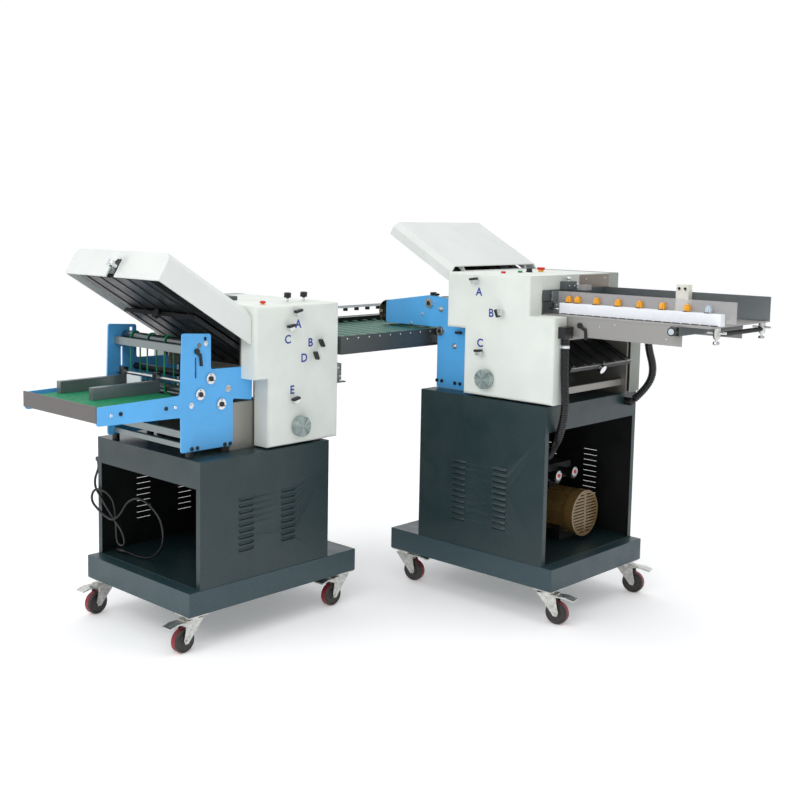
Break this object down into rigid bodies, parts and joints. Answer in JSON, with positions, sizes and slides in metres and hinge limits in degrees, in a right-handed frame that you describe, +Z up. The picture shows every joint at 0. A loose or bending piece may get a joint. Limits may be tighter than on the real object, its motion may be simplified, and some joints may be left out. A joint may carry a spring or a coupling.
{
  "type": "paper folding machine",
  "caption": "Floor-standing cross-folding paper machine: two wheeled buckle-folding units at a right angle, joined by a skewed roller table.",
  "frame": {"origin": "floor level, under the middle of the whole machine", "axes": "+Z up; +X towards the first unit's paper feeder; +Y along the longest extent, from the second unit's delivery to the first unit's rear side"},
  "size_m": [1.6951, 1.82, 1.303],
  "materials": {
    "slate_paint": "hammered slate grey powder coat",
    "plinth_paint": "hammered slate grey powder coat",
    "cream_paint": "fine textured cream paint",
    "white_hood": "satin white moulding",
    "blue_paint": "semi gloss light blue paint",
    "zinc": "bright zinc plate",
    "red_tread": "red polyurethane tread on a dark core",
    "frame_steel": "ground steel plate",
    "black_sheet": "black satin paint",
    "steel_roller": "ground steel",
    "black_knob": "black moulded plastic",
    "feed_sheet": "dull stainless sheet",
    "register_white": "white plastic strip",
    "dark_rail": "grey painted sheet",
    "pump_gold": "gold brown enamel",
    "hose_black": "corrugated black hose",
    "green_button": "green cap",
    "red_button": "red cap",
    "table_grey": "dark grey sheet",
    "roller_grey": "zinc tube",
    "ball_strip": "white strip on a dark base",
    "green_belt": "green polyurethane belt",
    "conveyor_green": "green conveyor belt"
  },
  "bodies": {
    "stand": {"air_hose_front": "hose_black", "air_hose_rear": "hose_black", "ball_guide": "ball_strip", "cabinet_1": "slate_paint", "cabinet_2": "slate_paint", "caster_plates": "zinc", "conveyor": "conveyor_green", "delivery_frame_1": "blue_paint", "delivery_frame_2": "blue_paint", "feed_table": "feed_sheet", "fold_plates_1": "black_sheet", "fold_plates_2": "black_sheet", "hand_knobs": "black_knob", "mains_cord": "hose_black", "operator_cover_1": "cream_paint", "operator_cover_2": "cream_paint", "plinth_1": "plinth_paint", "plinth_2": "plinth_paint", "rear_covers": "cream_paint", "round_belts": "green_belt", "side_frames_1": "frame_steel", "side_frames_2": "frame_steel", "table_rollers": "roller_grey", "top_panel_1": "cream_paint", "top_panel_2": "cream_paint", "transfer_table": "table_grey", "vacuum_pump": "pump_gold"},
    "fork_1_1": {"caster_fork_1_1": "zinc"},
    "wheel_1_1": {"caster_wheel_1_1": "red_tread"},
    "fork_1_2": {"caster_fork_1_2": "zinc"},
    "wheel_1_2": {"caster_wheel_1_2": "red_tread"},
    "fork_1_3": {"caster_fork_1_3": "zinc"},
    "wheel_1_3": {"caster_wheel_1_3": "red_tread"},
    "fork_1_4": {"caster_fork_1_4": "zinc"},
    "wheel_1_4": {"caster_wheel_1_4": "red_tread"},
    "fork_2_1": {"caster_fork_2_1": "zinc"},
    "wheel_2_1": {"caster_wheel_2_1": "red_tread"},
    "fork_2_2": {"caster_fork_2_2": "zinc"},
    "wheel_2_2": {"caster_wheel_2_2": "red_tread"},
    "fork_2_3": {"caster_fork_2_3": "zinc"},
    "wheel_2_3": {"caster_wheel_2_3": "red_tread"},
    "fork_2_4": {"caster_fork_2_4": "zinc"},
    "wheel_2_4": {"caster_wheel_2_4": "red_tread"},
    "hood_1": {"hood_1": "white_hood"},
    "main_roller_1": {"main_roller_1": "steel_roller"},
    "second_roller_1": {"second_roller_1": "steel_roller"},
    "hood_2": {"hood_2": "white_hood"},
    "main_roller_2": {"main_roller_2": "steel_roller"},
    "second_roller_2": {"second_roller_2": "steel_roller"},
    "belt_roller": {"belt_roller": "steel_roller"},
    "side_guide": {"side_guide": "register_white"},
    "far_guide": {"far_guide": "dark_rail"},
    "tray_guide_near": {"tray_guide_near": "dark_rail"},
    "tray_guide_far": {"tray_guide_far": "dark_rail"},
    "feed_clamp_lever": {"feed_clamp_lever": "black_knob"},
    "frame_clamp_lever": {"frame_clamp_lever": "black_knob"},
    "start_button": {"start_button": "green_button"},
    "stop_button": {"stop_button": "red_button"},
    "emergency_stop": {"emergency_stop": "red_button"},
    "speed_knob": {"speed_knob": "black_knob"}
  },
  "joints": [
    {"name": "caster_swivel_1_1", "type": "hinge", "parent": "stand", "child": "fork_1_1", "pos_m": [0.2825, 0.395, 0.105], "axis": [0, 0, 1], "continuous": true},
    {"name": "caster_roll_1_1", "type": "hinge", "parent": "fork_1_1", "child": "wheel_1_1", "pos_m": [0.31771, 0.40248, 0.038], "axis": [-0.2079, 0.9781, 0], "continuous": true},
    {"name": "caster_swivel_1_2", "type": "hinge", "parent": "stand", "child": "fork_1_2", "pos_m": [0.2825, 0.867, 0.105], "axis": [0, 0, 1], "continuous": true},
    {"name": "caster_roll_1_2", "type": "hinge", "parent": "fork_1_2", "child": "wheel_1_2", "pos_m": [0.31771, 0.87448, 0.038], "axis": [-0.2079, 0.9781, 0], "continuous": true},
    {"name": "caster_swivel_1_3", "type": "hinge", "parent": "stand", "child": "fork_1_3", "pos_m": [-0.3435, 0.395, 0.105], "axis": [0, 0, 1], "continuous": true},
    {"name": "caster_roll_1_3", "type": "hinge", "parent": "fork_1_3", "child": "wheel_1_3", "pos_m": [-0.30829, 0.40248, 0.038], "axis": [-0.2079, 0.9781, 0], "continuous": true},
    {"name": "caster_swivel_1_4", "type": "hinge", "parent": "stand", "child": "fork_1_4", "pos_m": [-0.3435, 0.867, 0.105], "axis": [0, 0, 1], "continuous": true},
    {"name": "caster_roll_1_4", "type": "hinge", "parent": "fork_1_4", "child": "wheel_1_4", "pos_m": [-0.30829, 0.87448, 0.038], "axis": [-0.2079, 0.9781, 0], "continuous": true},
    {"name": "caster_swivel_2_1", "type": "hinge", "parent": "stand", "child": "fork_2_1", "pos_m": [-0.3235, 0.025, 0.105], "axis": [0, 0, 1], "continuous": true},
    {"name": "caster_roll_2_1", "type": "hinge", "parent": "fork_2_1", "child": "wheel_2_1", "pos_m": [-0.32224, -0.01098, 0.038], "axis": [0.9994, 0.0349, 0], "continuous": true},
    {"name": "caster_swivel_2_2", "type": "hinge", "parent": "stand", "child": "fork_2_2", "pos_m": [-0.7955, 0.025, 0.105], "axis": [0, 0, 1], "continuous": true},
    {"name": "caster_roll_2_2", "type": "hinge", "parent": "fork_2_2", "child": "wheel_2_2", "pos_m": [-0.79424, -0.01098, 0.038], "axis": [0.9994, 0.0349, 0], "continuous": true},
    {"name": "caster_swivel_2_3", "type": "hinge", "parent": "stand", "child": "fork_2_3", "pos_m": [-0.3235, -0.601, 0.105], "axis": [0, 0, 1], "continuous": true},
    {"name": "caster_roll_2_3", "type": "hinge", "parent": "fork_2_3", "child": "wheel_2_3", "pos_m": [-0.32224, -0.63698, 0.038], "axis": [0.9994, 0.0349, 0], "continuous": true},
    {"name": "caster_swivel_2_4", "type": "hinge", "parent": "stand", "child": "fork_2_4", "pos_m": [-0.7955, -0.601, 0.105], "axis": [0, 0, 1], "continuous": true},
    {"name": "caster_roll_2_4", "type": "hinge", "parent": "fork_2_4", "child": "wheel_2_4", "pos_m": [-0.79424, -0.63698, 0.038], "axis": [0.9994, 0.0349, 0], "continuous": true},
    {"name": "hood_hinge_1", "type": "hinge", "parent": "stand", "child": "hood_1", "pos_m": [-0.1495, 0.631, 1.136], "axis": [0, 1, 0], "range_deg": [0, 55]},
    {"name": "main_roller_turn_1", "type": "hinge", "parent": "stand", "child": "main_roller_1", "pos_m": [0.0315, 0.631, 0.784], "axis": [0, 1, 0], "continuous": true},
    {"name": "second_roller_turn_1", "type": "hinge", "parent": "stand", "child": "second_roller_1", "pos_m": [0.0315, 0.631, 0.828], "axis": [0, 1, 0], "continuous": true},
    {"name": "hood_hinge_2", "type": "hinge", "parent": "stand", "child": "hood_2", "pos_m": [-0.5595, -0.382, 1.02422], "axis": [-1, 0, 0], "range_deg": [0, 55]},
    {"name": "main_roller_turn_2", "type": "hinge", "parent": "stand", "child": "main_roller_2", "pos_m": [-0.5595, -0.198, 0.647], "axis": [-1, 0, 0], "continuous": true},
    {"name": "second_roller_turn_2", "type": "hinge", "parent": "stand", "child": "second_roller_2", "pos_m": [-0.5595, -0.198, 0.691], "axis": [-1, 0, 0], "continuous": true},
    {"name": "belt_roller_turn", "type": "hinge", "parent": "stand", "child": "belt_roller", "pos_m": [-0.5595, -0.545, 0.925], "axis": [-1, 0, 0], "continuous": true},
    {"name": "side_guide_slide", "type": "slide", "parent": "stand", "child": "side_guide", "axis": [0, 1, 0], "range_m": [-0.035, 0.1]},
    {"name": "far_guide_slide", "type": "slide", "parent": "stand", "child": "far_guide", "axis": [0, 1, 0], "range_m": [-0.14, 0.015]},
    {"name": "tray_guide_near_slide", "type": "slide", "parent": "stand", "child": "tray_guide_near", "axis": [-1, 0, 0], "range_m": [-0.1, 0.03]},
    {"name": "tray_guide_far_slide", "type": "slide", "parent": "stand", "child": "tray_guide_far", "axis": [-1, 0, 0], "range_m": [-0.03, 0.03]},
    {"name": "feed_clamp_turn", "type": "hinge", "parent": "stand", "child": "feed_clamp_lever", "pos_m": [0.3465, 0.434, 0.984], "axis": [0, 1, 0], "range_deg": [-60, 20]},
    {"name": "frame_clamp_turn", "type": "hinge", "parent": "stand", "child": "frame_clamp_lever", "pos_m": [-0.3605, -0.555, 0.908], "axis": [-1, 0, 0], "range_deg": [-50, 20]},
    {"name": "start_press", "type": "slide", "parent": "stand", "child": "start_button", "axis": [0, 0, -1], "range_m": [0, 0.004], "stiffness_N_per_m": 200},
    {"name": "stop_press", "type": "slide", "parent": "stand", "child": "stop_button", "axis": [0, 0, -1], "range_m": [0, 0.004], "stiffness_N_per_m": 200},
    {"name": "emergency_stop_press", "type": "slide", "parent": "stand", "child": "emergency_stop", "axis": [0, 0, -1], "range_m": [0, 0.005], "stiffness_N_per_m": 400},
    {"name": "speed_knob_turn", "type": "hinge", "parent": "stand", "child": "speed_knob", "pos_m": [0.0225, 0.598, 1.136], "axis": [0, 0, 1], "range_deg": [-140, 140]}
  ],
  "couplings": [
    {"joint": "second_roller_turn_1", "follows": "main_roller_turn_1", "ratio": -1},
    {"joint": "second_roller_turn_2", "follows": "main_roller_turn_2", "ratio": -1}
  ]
}
